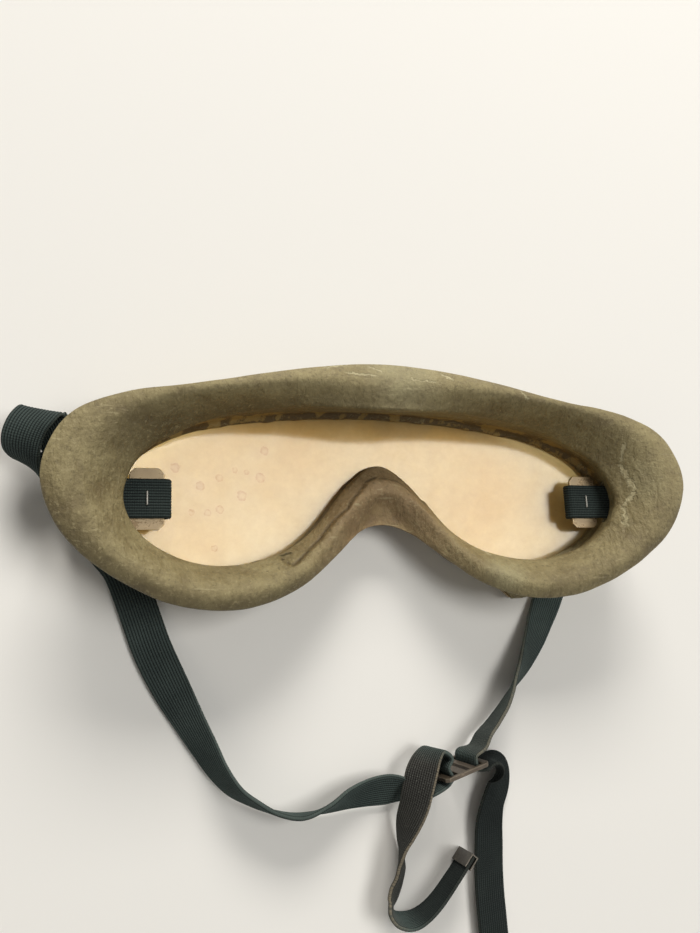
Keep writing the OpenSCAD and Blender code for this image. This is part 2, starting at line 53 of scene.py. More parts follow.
# Camera, from the photograph: focal length in pixels, place in mm, and its own axes.
IMAGE_H = 933
FOCAL_PX = 750
SENSOR = 36.0
CAMERA_AT = Vector((-79.27, -34.09, 216.55)) * MM
CAMERA_RIGHT = Vector((0.94859, -0.03846, 0.31415))
CAMERA_UP = Vector((-0.02134, 0.98256, 0.18471))


def make_camera():
    data = bpy.data.cameras.new("camera")
    data.sensor_width = SENSOR
    data.lens = FOCAL_PX * SENSOR / IMAGE_H
    data.clip_start = 0.01
    camera = bpy.data.objects.new("camera", data)
    right = CAMERA_RIGHT.normalized()
    up = (CAMERA_UP - right * CAMERA_UP.dot(right)).normalized()
    turn = Matrix((right, up, right.cross(up))).transposed()
    camera.matrix_world = Matrix.Translation(CAMERA_AT) @ turn.to_4x4()
    scene.collection.objects.link(camera)
    scene.camera = camera


make_camera()


# Adds one shader node and returns its outputs. An input is a value or the socket that feeds it.
def add(tree, kind, inputs=None, **settings):
    made = tree.nodes.new("ShaderNode" + kind)
    for name, value in settings.items():
        setattr(made, name, value)
    for key, value in (inputs or {}).items():
        if isinstance(value, bpy.types.NodeSocket):
            tree.links.new(value, made.inputs[key])
        else:
            made.inputs[key].default_value = value
    return made.outputs


def new_material(name):
    made = bpy.data.materials.new(name)
    made.use_nodes = True
    made.node_tree.nodes.clear()
    return made, made.node_tree


# One pale crease in the rubber: a soft ragged line from start to end, in mm, seen from behind.
def crease_line(tree, shaken, start, end, width):
    start, end = (Vector((*point, 0)) * MM for point in (start, end))
    reach = (end - start).length / 2
    slant = math.atan2(end.y - start.y, end.x - start.x)
    centred = add(tree, "VectorMath", {0: shaken, 1: (start + end) / 2}, operation="SUBTRACT")[0]
    level = add(tree, "VectorRotate", {"Vector": centred, "Angle": -slant}, rotation_type="Z_AXIS")[0]
    apart = add(tree, "SeparateXYZ", {0: level})
    off = add(tree, "Math", {0: apart["Y"]}, operation="ABSOLUTE")[0]
    far = add(tree, "Math", {0: apart["X"]}, operation="ABSOLUTE")[0]
    thin = add(tree, "MapRange", {0: off, 1: 0.3 * width * MM, 2: width * MM, 3: 1, 4: 0},
               interpolation_type="SMOOTHSTEP")[0]
    short = add(tree, "MapRange", {0: far, 1: 0.7 * reach, 2: 1.05 * reach, 3: 1, 4: 0},
                interpolation_type="SMOOTHSTEP")[0]
    return add(tree, "Math", {0: thin, 1: short}, operation="MULTIPLY")[0]


# Dried rings on the lens, left by damp: place (x, y) and radius, in mm.
RINGS = [
    (-47, 3, 1.1), (-52.5, 0.5, 1.2), (-42.5, 5.5, 0.8), (-39, 5, 0.7), (-35, 3.5, 1.4),
    (-40.5, -2, 1.4), (-50.5, -7, 1), (-55, -7, 0.9), (-47, -6, 1.1), (-48.5, -17, 0.9),
    (-33.5, 11.5, 1.2), (-59.5, 5.5, 1.3)]

# Pale rubbed patches on the roll: place and reach, in mm.
RUBBED = [((76, -1, 34), 11), ((2, 31, 29), 15), ((34, -25, 22), 9)]

# Creases and knocks on the roll: start and end (x, y) and width, in mm.
CREASES = [
    ((74, 12.5), (74, 6), 0.6), ((74, 6), (76, 1.5), 0.8), ((76, 1.5), (78, -2.5), 0.9),
    ((78, -2.5), (75, -7), 0.8), ((75, -7), (74, -14), 0.6), ((-22, 30.5), (-13, 32.5), 0.5),
    ((-8, 32.5), (-4, 30), 0.6), ((14, 31), (17.5, 28.5), 0.6), ((38, 26.5), (41, 24), 0.4),
    ((27, -16.5), (32.5, -21.5), 0.7), ((-16, 29), (-6, 28.5), 0.5), ((3, 28.5), (12, 27.5), 0.5)]


# Natural rubber, press-moulded, aged and handled: matt olive drab in soft clouds, with painted shade on the
# slopes that face the chin, brown over the nose, painted brown shade in the channel and a dark line painted
# along the step over the nose as shade, fine flecks and pits, dabs of old cement, thin scratches along the
# crown, crazing, patches rubbed pale, and cracks that catch dust.
def make_rubber():
    made, tree = new_material("aged_moulded_rubber")
    place = add(tree, "TexCoord")["Object"]
    apart = add(tree, "SeparateXYZ", {0: place})
    cloud = add(tree, "TexNoise", {"Vector": place, "Scale": 1 / (24 * MM), "Detail": 3})["Fac"]
    mottle = add(tree, "TexNoise", {"Vector": place, "Scale": 1 / (5.5 * MM), "Detail": 6,
                 "Roughness": 0.6})["Fac"]
    skin = add(tree, "TexNoise", {"Vector": place, "Scale": 1 / (1.1 * MM), "Detail": 6,
               "Roughness": 0.65})["Fac"]
    # Ground colour: clouds, then a paler and a darker mottle.
    tone = add(tree, "MapRange", {0: cloud, 1: 0.36, 2: 0.64})[0]
    base = add(tree, "Mix", {0: tone, 6: colour("#756948"), 7: colour("#8c805b")}, data_type="RGBA")[2]
    light = add(tree, "MapRange", {0: mottle, 1: 0.46, 2: 0.7, 4: 0.6})[0]
    base = add(tree, "Mix", {0: light, 6: base, 7: colour("#a2966f")}, data_type="RGBA")[2]
    dark = add(tree, "MapRange", {0: mottle, 1: 0.46, 2: 0.26, 4: 0.5})[0]
    base = add(tree, "Mix", {0: dark, 6: base, 7: colour("#5f4f33")}, data_type="RGBA")[2]
    # Painted shade on the slopes that face the chin, patchy with the mottle; brown over the nose, then
    # flecks and pits in the skin.
    painted_shade = add(tree, "Attribute", attribute_name="painted_shade")["Fac"]
    patchy = add(tree, "MapRange", {0: mottle, 1: 0.25, 2: 0.7, 3: 0.95, 4: 0.6})[0]
    patchy_shade = add(tree, "Math", {0: painted_shade, 1: patchy}, operation="MULTIPLY")[0]
    base = add(tree, "Mix", {0: patchy_shade, 6: base, 7: colour("#4a4028")}, data_type="RGBA")[2]
    side = add(tree, "Math", {0: apart["X"]}, operation="ABSOLUTE")[0]
    near = add(tree, "MapRange", {0: side, 1: 6 * MM, 2: 34 * MM, 3: 0.75, 4: 0},
               interpolation_type="SMOOTHSTEP")[0]
    below = add(tree, "MapRange", {0: apart["Y"], 1: 14 * MM, 2: 4 * MM},
                interpolation_type="SMOOTHSTEP")[0]
    nose = add(tree, "Math", {0: near, 1: below}, operation="MULTIPLY")[0]
    base = add(tree, "Mix", {0: nose, 6: base, 7: colour("#82694a")}, data_type="RGBA")[2]
    fleck = add(tree, "MapRange", {0: skin, 1: 0.56, 2: 0.72, 4: 0.6})[0]
    base = add(tree, "Mix", {0: fleck, 6: base, 7: colour("#aca07a")}, data_type="RGBA")[2]
    pit = add(tree, "MapRange", {0: skin, 1: 0.46, 2: 0.32, 4: 0.6})[0]
    base = add(tree, "Mix", {0: pit, 6: base, 7: colour("#5a5037")}, data_type="RGBA")[2]
    # Inside the channel: painted brown shade on the inner wall and rear lip, and dabs of cement.
    channel = add(tree, "Attribute", attribute_name="channel")["Fac"]
    channel_shade = add(tree, "Math", {0: channel, 1: 0.8}, operation="MULTIPLY")[0]
    base = add(tree, "Mix", {0: channel_shade, 6: base, 7: colour("#54401f")}, data_type="RGBA")[2]
    dab = add(tree, "MapRange", {0: mottle, 1: 0.52, 2: 0.57, 4: 0.7})[0]
    cement = add(tree, "Math", {0: channel, 1: dab}, operation="MULTIPLY")[0]
    base = add(tree, "Mix", {0: cement, 6: base, 7: colour("#a3884f")}, data_type="RGBA")[2]
    # Wear: scratches along the crown, crazing, and rubbed patches.
    crown = add(tree, "Attribute", attribute_name="crown")["Fac"]
    drawn = add(tree, "Mapping", {"Vector": place, "Scale": (0.16, 1.6, 1), "Rotation": (0, 0, 0.06)})[0]
    drag = add(tree, "TexNoise", {"Vector": drawn, "Scale": 1 / (1.6 * MM), "Detail": 3,
               "Distortion": 0.4})["Fac"]
    thin = add(tree, "MapRange", {0: drag, 1: 0.63, 2: 0.7, 4: 0.4})[0]
    scratch = add(tree, "Math", {0: crown, 1: thin}, operation="MULTIPLY")[0]
    base = add(tree, "Mix", {0: scratch, 6: base, 7: colour("#b5a984")}, data_type="RGBA")[2]
    folds = add(tree, "TexNoise", {"Vector": place, "Scale": 1 / (4.5 * MM), "Detail": 3,
                "Distortion": 1.2})["Fac"]
    apart_fold = add(tree, "Math", {0: folds, 1: 0.5, 2: 0.012}, operation="COMPARE")[0]
    crazed = add(tree, "MapRange", {0: cloud, 1: 0.5, 2: 0.58, 4: 0.4})[0]
    craze = add(tree, "Math", {0: apart_fold, 1: crazed}, operation="MULTIPLY")[0]
    base = add(tree, "Mix", {0: craze, 6: base, 7: colour("#a79b73")}, data_type="RGBA")[2]
    for spot, reach in RUBBED:
        off = add(tree, "VectorMath", {0: place, 1: Vector(spot) * MM}, operation="DISTANCE")["Value"]
        worn = add(tree, "MapRange", {0: off, 1: reach * MM, 2: 3 * MM, 4: 0.55},
                   interpolation_type="SMOOTHSTEP")[0]
        rubbed = add(tree, "Math", {0: worn, 1: mottle}, operation="MULTIPLY")[0]
        base = add(tree, "Mix", {0: rubbed, 6: base, 7: colour("#b3ae8b")}, data_type="RGBA")[2]
    # Over the nose: the dusty web and a dark line painted along the step as shade; then the cracks, kept to
    # the roll's top.
    web = add(tree, "Attribute", attribute_name="web")["Fac"]
    dusty = add(tree, "Math", {0: web, 1: light}, operation="MULTIPLY")[0]
    base = add(tree, "Mix", {0: dusty, 6: base, 7: colour("#a08a62")}, data_type="RGBA")[2]
    step_shade_line = add(tree, "Attribute", attribute_name="step_shade_line")["Fac"]
    base = add(tree, "Mix", {0: step_shade_line, 6: base, 7: colour("#473a25")}, data_type="RGBA")[2]
    wander = add(tree, "TexNoise", {"Vector": place, "Scale": 1 / (1.7 * MM), "Detail": 5,
                 "Roughness": 0.65})["Color"]
    wander = add(tree, "VectorMath", {0: wander, 1: (0.5, 0.5, 0.5)}, operation="SUBTRACT")[0]
    wander = add(tree, "VectorMath", {0: wander, "Scale": 3.2 * MM}, operation="SCALE")[0]
    shaken = add(tree, "VectorMath", {0: place, 1: wander}, operation="ADD")[0]
    cracks = crease_line(tree, shaken, *CREASES[0])
    for crease in CREASES[1:]:
        line = crease_line(tree, shaken, *crease)
        cracks = add(tree, "Math", {0: cracks, 1: line}, operation="MAXIMUM")[0]
    upper = add(tree, "MapRange", {0: apart["Z"], 1: 12 * MM, 2: 16 * MM})[0]
    cracks = add(tree, "Math", {0: cracks, 1: upper}, operation="MULTIPLY")[0]
    pale = add(tree, "Math", {0: cracks, 1: 0.85}, operation="MULTIPLY")[0]
    base = add(tree, "Mix", {0: pale, 6: base, 7: colour("#bab08b")}, data_type="RGBA")[2]
    # Relief: skin, crazing and wrinkles raised, the step and the cracks cut in.
    height = add(tree, "Math", {0: skin, 1: 0.35, 2: mottle}, operation="MULTIPLY_ADD")[0]
    height = add(tree, "Math", {0: craze, 1: 0.15, 2: height}, operation="MULTIPLY_ADD")[0]
    wrinkle = add(tree, "Mapping", {"Vector": place, "Scale": (1, 0.3, 0.6), "Rotation": (0, 0, 0.15)})[0]
    wrinkle = add(tree, "TexNoise", {"Vector": wrinkle, "Scale": 1 / (1.8 * MM), "Detail": 4,
                  "Distortion": 0.8})["Fac"]
    height = add(tree, "Math", {0: wrinkle, 1: 0.7, 2: height}, operation="MULTIPLY_ADD")[0]
    height = add(tree, "Math", {0: step_shade_line, 1: -0.8, 2: height}, operation="MULTIPLY_ADD")[0]
    height = add(tree, "Math", {0: cracks, 1: -0.3, 2: height}, operation="MULTIPLY_ADD")[0]
    relief = add(tree, "Bump", {"Height": height, "Strength": 0.85, "Distance": 1.0 * MM})[0]
    matt = add(tree, "MapRange", {0: mottle, 1: 0.3, 2: 0.7, 3: 0.5, 4: 0.7})[0]
    surface = add(tree, "BsdfPrincipled", {"Base Color": base, "Roughness": matt, "IOR": 1.52,
                  "Specular IOR Level": 0.35, "Normal": relief})
    add(tree, "OutputMaterial", {"Surface": surface[0]})
    return made


# Softer brown rubber, moulded in small flat flaps: even, with a fine skin and a dull sheen.
def make_tab_rubber():
    made, tree = new_material("moulded_flap_rubber")
    place = add(tree, "TexCoord")["Object"]
    cloud = add(tree, "TexNoise", {"Vector": place, "Scale": 1 / (6 * MM), "Detail": 5,
                "Roughness": 0.6})["Fac"]
    skin = add(tree, "TexNoise", {"Vector": place, "Scale": 1 / (0.5 * MM), "Detail": 4})["Fac"]
    tone = add(tree, "MapRange", {0: cloud, 1: 0.3, 2: 0.7})[0]
    base = add(tree, "Mix", {0: tone, 6: colour("#86744f"), 7: colour("#a08d6c")}, data_type="RGBA")[2]
    relief = add(tree, "Bump", {"Height": skin, "Strength": 0.4, "Distance": 0.12 * MM})[0]
    matt = add(tree, "MapRange", {0: cloud, 1: 0.3, 2: 0.7, 3: 0.48, 4: 0.66})[0]
    surface = add(tree, "BsdfPrincipled", {"Base Color": base, "Roughness": matt, "IOR": 1.52,
                  "Specular IOR Level": 0.4, "Normal": relief})
    add(tree, "OutputMaterial", {"Surface": surface[0]})
    return made


# Cellulose acetate sheet, polished and long yellowed: clear with a straw tint, a glossy face,
# a thin milky film, and small dried rings from damp on its left half.
def make_acetate():
    made, tree = new_material("polished_yellowed_acetate")
    place = add(tree, "TexCoord")["Object"]
    ragged = add(tree, "TexNoise", {"Vector": place, "Scale": 1 / (1.2 * MM), "Detail": 3})["Color"]
    ragged = add(tree, "VectorMath", {0: ragged, 1: (0.5, 0.5, 0.5)}, operation="SUBTRACT")[0]
    ragged = add(tree, "VectorMath", {0: ragged, "Scale": 1.3 * MM}, operation="SCALE")[0]
    flat = add(tree, "VectorMath", {0: place, 1: ragged}, operation="ADD")[0]
    flat = add(tree, "VectorMath", {0: flat, 1: (1, 1, 0)}, operation="MULTIPLY")[0]
    cloud = add(tree, "TexNoise", {"Vector": place, "Scale": 1 / (26 * MM), "Detail": 3})["Fac"]
    dust = add(tree, "TexNoise", {"Vector": place, "Scale": 1 / (7 * MM), "Detail": 8,
               "Roughness": 0.7})["Fac"]
    marks = None
    for x, y, radius in RINGS:
        off = add(tree, "VectorMath", {0: flat, 1: (x * MM, y * MM, 0)}, operation="DISTANCE")["Value"]
        rise = add(tree, "MapRange", {0: off, 1: 0.4 * radius * MM, 2: 0.85 * radius * MM, 3: 0.3})[0]
        fall = add(tree, "MapRange", {0: off, 1: 1.15 * radius * MM, 2: radius * MM})[0]
        ring = add(tree, "Math", {0: rise, 1: fall}, operation="MULTIPLY")[0]
        marks = ring if marks is None else add(tree, "Math", {0: marks, 1: ring}, operation="MAXIMUM")[0]
    tone = add(tree, "MapRange", {0: cloud, 1: 0.3, 2: 0.7})[0]
    tint = add(tree, "Mix", {0: tone, 6: colour("#fff6d8"), 7: colour("#fdefc2")}, data_type="RGBA")[2]
    patchy = add(tree, "MapRange", {0: ragged, 1: -0.15 * MM, 2: 0.2 * MM, 3: 0.1, 4: 0.6})[0]
    rusty = add(tree, "Math", {0: marks, 1: patchy}, operation="MULTIPLY")[0]
    tint = add(tree, "Mix", {0: rusty, 6: tint, 7: colour("#c98c3c")}, data_type="RGBA")[2]
    film = add(tree, "MapRange", {0: dust, 1: 0.35, 2: 0.8, 3: 0.3, 4: 0.42})[0]
    shine = add(tree, "Fresnel", {"IOR": 1.48})[0]
    share = add(tree, "Math", {0: film, 1: shine}, operation="ADD")[0]
    milk = add(tree, "Mix", {0: tone, 6: colour("#ffebb8"), 7: colour("#fbdf9c")}, data_type="RGBA")[2]
    milk = add(tree, "Mix", {0: rusty, 6: milk, 7: colour("#b87828")}, data_type="RGBA")[2]
    gloss = add(tree, "MapRange", {0: dust, 1: 0.3, 2: 0.8, 3: 0.1, 4: 0.25})[0]
    clear = add(tree, "BsdfTransparent", {"Color": tint})
    face = add(tree, "BsdfPrincipled", {"Base Color": milk, "Roughness": gloss, "IOR": 1.48,
               "Specular IOR Level": 0.8, "Coat Weight": 0.8, "Coat Roughness": 0.12})
    sheet = add(tree, "MixShader", {0: share, 1: clear[0], 2: face[0]})
    add(tree, "OutputMaterial", {"Surface": sheet[0]})
    return made


# Elastic webbing, cotton woven over rubber threads: matt and ribbed lengthways, with a fine thread step
# across the ribs, black to green-grey and grey where it has faded, painted shade between the ribs and a
# painted highlight on their crests, flecks of lint and a paler worn selvedge. Sizes in mm; the selvedge is
# given by its two distances from the side.
THREAD_MM = 0.6
STRAP_W, STRAP_T, RIBS = 10.5, 1.2, 13
SELVEDGE = (0.35, 0.1)


def make_webbing():
    made, tree = new_material("woven_elastic_webbing")
    along = add(tree, "Attribute", attribute_name="along")["Fac"]
    across = add(tree, "Attribute", attribute_name="across")["Fac"]
    faded = add(tree, "Attribute", attribute_name="faded")["Fac"]
    rib = add(tree, "Attribute", attribute_name="rib")["Fac"]
    laid = add(tree, "CombineXYZ", {0: across, 1: along})[0]
    step = add(tree, "TexWave", {"Vector": laid, "Scale": math.pi / 10 / (THREAD_MM * MM),
               "Distortion": 1.2, "Detail": 2, "Detail Scale": 2}, wave_type="BANDS",
               bands_direction="Y")["Fac"]
    patch = add(tree, "TexNoise", {"Vector": laid, "Scale": 1 / (9 * MM), "Detail": 4})["Fac"]
    fluff = add(tree, "TexNoise", {"Vector": laid, "Scale": 1 / (0.4 * MM), "Detail": 4,
                "Roughness": 0.7})["Fac"]
    tone = add(tree, "MapRange", {0: patch, 1: 0.3, 2: 0.7})[0]
    black = add(tree, "Mix", {0: tone, 6: colour("#0f1213"), 7: colour("#161a1a")}, data_type="RGBA")[2]
    green = add(tree, "Mix", {0: tone, 6: colour("#3c4947"), 7: colour("#4d5b58")}, data_type="RGBA")[2]
    grey = add(tree, "Mix", {0: tone, 6: colour("#373532"), 7: colour("#484541")}, data_type="RGBA")[2]
    half = add(tree, "MapRange", {0: faded, 1: 0, 2: 0.5})[0]
    full = add(tree, "MapRange", {0: faded, 1: 0.5, 2: 1})[0]
    base = add(tree, "Mix", {0: half, 6: black, 7: green}, data_type="RGBA")[2]
    base = add(tree, "Mix", {0: full, 6: base, 7: grey}, data_type="RGBA")[2]
    # Painted shade in the valleys between the ribs.
    valley_shade = add(tree, "MapRange", {0: rib, 1: 0.1, 2: 0.7, 3: 0.75, 4: 0})[0]
    base = add(tree, "Mix", {0: valley_shade, 6: base, 7: colour("#0b0d0d")}, data_type="RGBA")[2]
    # A painted highlight on the rib crests along the thread step, weaker where the webbing is black.
    crest = add(tree, "MapRange", {0: step, 1: 0.3, 2: 0.95, 3: 0.14, 4: 0.3})[0]
    lit = add(tree, "Math", {0: crest, 1: rib}, operation="MULTIPLY")[0]
    highlight_gain = add(tree, "MapRange", {0: faded, 1: 0, 2: 0.4, 3: 0.25})[0]
    lit = add(tree, "Math", {0: lit, 1: highlight_gain}, operation="MULTIPLY")[0]
    base = add(tree, "Mix", {0: lit, 6: base, 7: colour("#5d6462")}, data_type="RGBA")[2]
    fleck = add(tree, "MapRange", {0: fluff, 1: 0.6, 2: 0.7})[0]
    more = add(tree, "MapRange", {0: faded, 3: 0.06, 4: 0.65})[0]
    lint = add(tree, "Math", {0: fleck, 1: more}, operation="MULTIPLY")[0]
    base = add(tree, "Mix", {0: lint, 6: base, 7: colour("#9a9a93")}, data_type="RGBA")[2]
    out = add(tree, "Math", {0: across}, operation="ABSOLUTE")[0]
    inner, outer = ((STRAP_W / 2 - inset) * MM for inset in SELVEDGE)
    brim = add(tree, "MapRange", {0: out, 1: inner, 2: outer})[0]
    stitch = add(tree, "MapRange", {0: fluff, 1: 0.4, 2: 0.5})[0]
    worn = add(tree, "MapRange", {0: faded, 1: 0.45, 3: 0.03, 4: 0.5})[0]
    brim = add(tree, "Math", {0: brim, 1: stitch}, operation="MULTIPLY")[0]
    brim = add(tree, "Math", {0: brim, 1: worn}, operation="MULTIPLY")[0]
    base = add(tree, "Mix", {0: brim, 6: base, 7: colour("#a3967e")}, data_type="RGBA")[2]
    height = add(tree, "Math", {0: fluff, 1: 0.6, 2: step}, operation="MULTIPLY_ADD")[0]
    relief = add(tree, "Bump", {"Height": height, "Strength": 0.6, "Distance": 0.12 * MM})[0]
    surface = add(tree, "BsdfPrincipled", {"Base Color": base, "Roughness": 0.88, "IOR": 1.5,
                  "Specular IOR Level": 0.1, "Sheen Weight": 0.02, "Sheen Roughness": 0.5, "Normal": relief})
    add(tree, "OutputMaterial", {"Surface": surface[0]})
    return made


# Sheet metal under a thin coat: two tones of coat, chips down to the bare metal, fine pits.
def make_coated_metal(name, coat, rubbed, bare, sheen, chipped=0.62, metallic=0.35):
    made, tree = new_material(name)
    place = add(tree, "TexCoord")["Object"]
    broad = add(tree, "TexNoise", {"Vector": place, "Scale": 1 / (4 * MM), "Detail": 5,
                "Roughness": 0.6})["Fac"]
    fine = add(tree, "TexNoise", {"Vector": place, "Scale": 1 / (0.5 * MM), "Detail": 5,
               "Roughness": 0.7})["Fac"]
    tone = add(tree, "MapRange", {0: broad, 1: 0.35, 2: 0.65})[0]
    base = add(tree, "Mix", {0: tone, 6: colour(coat), 7: colour(rubbed)}, data_type="RGBA")[2]
    worn = add(tree, "Math", {0: fine, 1: 0.5, 2: broad}, operation="MULTIPLY_ADD")[0]
    chips = add(tree, "MapRange", {0: worn, 1: chipped + 0.2, 2: chipped + 0.28, 4: 0.75})[0]
    base = add(tree, "Mix", {0: chips, 6: base, 7: colour(bare)}, data_type="RGBA")[2]
    metal = add(tree, "MapRange", {0: chips, 3: metallic, 4: 0.95})[0]
    height = add(tree, "Math", {0: chips, 1: -0.5, 2: fine}, operation="MULTIPLY_ADD")[0]
    relief = add(tree, "Bump", {"Height": height, "Strength": 0.4, "Distance": 0.08 * MM})[0]
    gloss = add(tree, "MapRange", {0: fine, 1: 0.3, 2: 0.7, 3: sheen - 0.08, 4: sheen + 0.12})[0]
    surface = add(tree, "BsdfPrincipled", {"Base Color": base, "Metallic": metal,
                  "Roughness": gloss, "Normal": relief})
    add(tree, "OutputMaterial", {"Surface": surface[0]})
    return made


RUBBER = make_rubber()
FLAP_RUBBER = make_tab_rubber()
ACETATE = make_acetate()
WEBBING = make_webbing()
# Stamped steel, lacquered tan: satin, with darker knocks; its rubbed edge is paler and brighter.
TOGGLE_FACE = make_coated_metal("tan_lacquered_steel", "#8c7a5e", "#9d8a6b", "#5d4c36", 0.42)
TOGGLE_EDGE = make_coated_metal("rubbed_tan_lacquer", "#a8946f", "#b8a482", "#6b5a40", 0.35, 0.66, 0.6)
# Stamped steel, japanned black-brown: a dark hard coat, worn to dull steel along its edges.
BUCKLE_FACE = make_coated_metal("japanned_stamped_steel", "#463d32", "#554a3e", "#7c7160", 0.4)
BUCKLE_EDGE = make_coated_metal("rubbed_japanned_edge", "#5a5145", "#6c6253", "#3d352c", 0.42, 0.64, 0.5)
# Drawn steel wire: hard and thin, dulled by age, one short glint on each toggle.
STAPLE_WIRE = make_coated_metal("drawn_steel_wire", "#7c7a74", "#94928b", "#5c5951", 0.42, 0.7, 0.8)
# Pressed brass, darkened by age: warm and dull, with a few polished spots.
SNAP_BRASS = make_coated_metal("darkened_pressed_brass", "#7e7152", "#94855f", "#5a4c33", 0.38, 0.62, 0.8)
# Thin steel folded over the strap end: dark, scratched bright.
TIP_STEEL = make_coated_metal("folded_tip_steel", "#3c3832", "#57524a", "#b9b3a6", 0.35, 0.66, 0.7)


def add_piece(name, mesh, body, materials, node):
    piece = bpy.data.objects.new(name, mesh)
    scene.collection.objects.link(piece)
    for material in materials:
        piece.data.materials.append(material)
    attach(piece, body)
    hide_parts(node)
    return piece


# A merged copy of a CAD node's loose triangles, as the start of a finished piece.
def merged_copy(node):
    bm = bmesh.new()
    bm.from_mesh(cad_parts[node].data)
    bmesh.ops.remove_doubles(bm, verts=bm.verts, dist=1e-6)
    return bm


def mesh_of(bm, name, sharp_deg=40):
    mesh = bpy.data.meshes.new(name)
    for face in bm.faces:
        face.smooth = True
    bm.to_mesh(mesh)
    bm.free()
    mesh.set_sharp_from_angle(angle=math.radians(sharp_deg))
    return mesh


# A small hard part: its flat faces joined, its edges rounded by bevel_mm, in a second finish if given.
def small_part(node, name, body, materials, bevel_mm):
    bm = merged_copy(node)
    bmesh.ops.dissolve_limit(bm, angle_limit=math.radians(1), verts=bm.verts, edges=bm.edges)
    piece = add_piece(name, mesh_of(bm, name), body, materials, node)
    if bevel_mm:
        edges = piece.modifiers.new("edges", "BEVEL")
        edges.width = bevel_mm * MM
        edges.segments = 2
        edges.limit_method = "ANGLE"
        edges.angle_limit = math.radians(40)
        edges.material = len(materials) - 1 if len(materials) > 1 else -1
        edges.harden_normals = True


# The rubber frame: the CAD form with its facets rounded off, then the sag and lumps of old rubber. Five
# marks go with it: the painted brown shade inside the channel, the rubbed crown, the dark line painted along
# the step over the nose as shade, the dusty web under it, and the painted shade on the slopes that face the
# wearer's chin.
# Sizes are in mm and heights are above the front; a facing is a share of straight up or across.
# A pair says where something starts and where it is full, and BAND_REACH how far the band goes.
FRAME_MARKS = ("channel", "crown", "step_shade_line", "web", "painted_shade")
JOIN_DEG, CORNER_DEG, CORNER_CREASE = 25, 55, 0.7
EYE_X, EYE_Y = 41, -2
FRONT_R, FLAT_HALF = 200, 25
SAGGING = (6, 12)
LUMP, LUMP_SIZE = 0.35, 22
DIMPLE, DIMPLE_SIZE = 0.14, 7
LIP_LOW, LIP_HIGH = 3.6, 6.5
LIP_WAVE, LIP_WAVE_SIZE = 0.7, 5
CHANNEL_SHADE, CHIN_SIDE_SHADE = (13, 9), 0.4
SHADED_LIP_LOW, SHADED_LIP_HIGH = 3, 9
SHADED_WALL_LOW = 4.5
LIP_FACING, WALL_FACING, EYE_FACING = 0.5, 0.7, 0.3
CROWN_LOW, CROWN_FACING = 7, (0.75, 0.95)
SHADE_FACING, SHADE_HEIGHT, SHADE_ACROSS = (0.05, 0.55), (27, 19), (20, -10)
SHADE_LEAST_HIGH, SHADE_LEAST_RIGHT = 0.15, 0.3
NOSE_UNSHADED, NOSE_UNSHADED_TOP = (30, 18), 12
# Over the nose: the step between the lip's flat band and the bead, and the foot of the bead.
STEP = [
    (-32, -20), (-31.5, -22), (-29.5, -23), (-28, -22), (-24.5, -19), (-20.5, -15.5), (-18, -12.5),
    (-14.5, -9), (-12, -7), (-10, -4), (-7, -1), (-5, 1.5), (-2.5, 2.5), (1, 2.5), (5, 1.5), (7, 0),
    (9.5, -2), (13, -5)]
FOOT = [
    (-10, -14.5), (-8, -9.5), (-5.5, -6), (-3, -3), (1, -2.5), (4, -3.5), (6, -6.5), (9, -10),
    (11.5, -14), (16, -19.5)]
NOSE_HALF, NOSE_LOW, NOSE_TOP = 34, -28, 9
NOSE_RISE, STEP_SHADE_HALF = (5, 8), 0.45
BAND_REACH, BAND_SLOPE, BAND_SINK = (-8, 7), (-0.4, 0.4), 1.2
WEB_SLOPE, WEB_SINK = (0, -3), 1.8


# How far a value has come from start to end, held between 0 and 1.
def ramp(value, start, end):
    return max(0.0, min(1.0, (value - start) / (end - start)))


def front_z(x):
    bend = max(0.0, abs(x) - FLAT_HALF)
    return FRONT_R - math.sqrt(FRONT_R ** 2 - bend ** 2)


# How far a place is to the left of a line walked from its first point, or None beyond its ends.
def left_of(line, x, y):
    best = None
    for k, ((ax, ay), (bx, by)) in enumerate(zip(line, line[1:])):
        length = math.hypot(bx - ax, by - ay)
        share = ((x - ax) * (bx - ax) + (y - ay) * (by - ay)) / length ** 2
        beyond = (k == 0 and share < 0) or (k == len(line) - 2 and share > 1)
        share = max(0.0, min(1.0, share))
        apart = math.hypot(x - ax - share * (bx - ax), y - ay - share * (by - ay))
        side = math.copysign(1, (bx - ax) * (y - ay) - (by - ay) * (x - ax))
        if best is None or apart < best[0]:
            best = (apart, None if beyond else side * apart)
    return best[1]


# The CAD form in one mesh: facets joined and rounded off, sharp corners kept by a crease.
def rounded_frame():
    bm = merged_copy("frame")
    bmesh.ops.join_triangles(bm, faces=bm.faces, angle_face_threshold=math.radians(JOIN_DEG),
                             angle_shape_threshold=math.radians(180))
    crease = bm.edges.layers.float.new("crease_edge")
    for edge in bm.edges:
        if edge.calc_face_angle(0) > math.radians(CORNER_DEG):
            edge[crease] = CORNER_CREASE
    rough = bpy.data.objects.new("frame_start", mesh_of(bm, "frame_start", 180))
    scene.collection.objects.link(rough)
    rounding = rough.modifiers.new("rounding", "SUBSURF")
    rounding.levels = rounding.render_levels = 2
    mesh = bpy.data.meshes.new_from_object(rough.evaluated_get(bpy.context.evaluated_depsgraph_get()))
    bpy.data.objects.remove(rough)
    mesh.name = "rubber_frame"
    return mesh


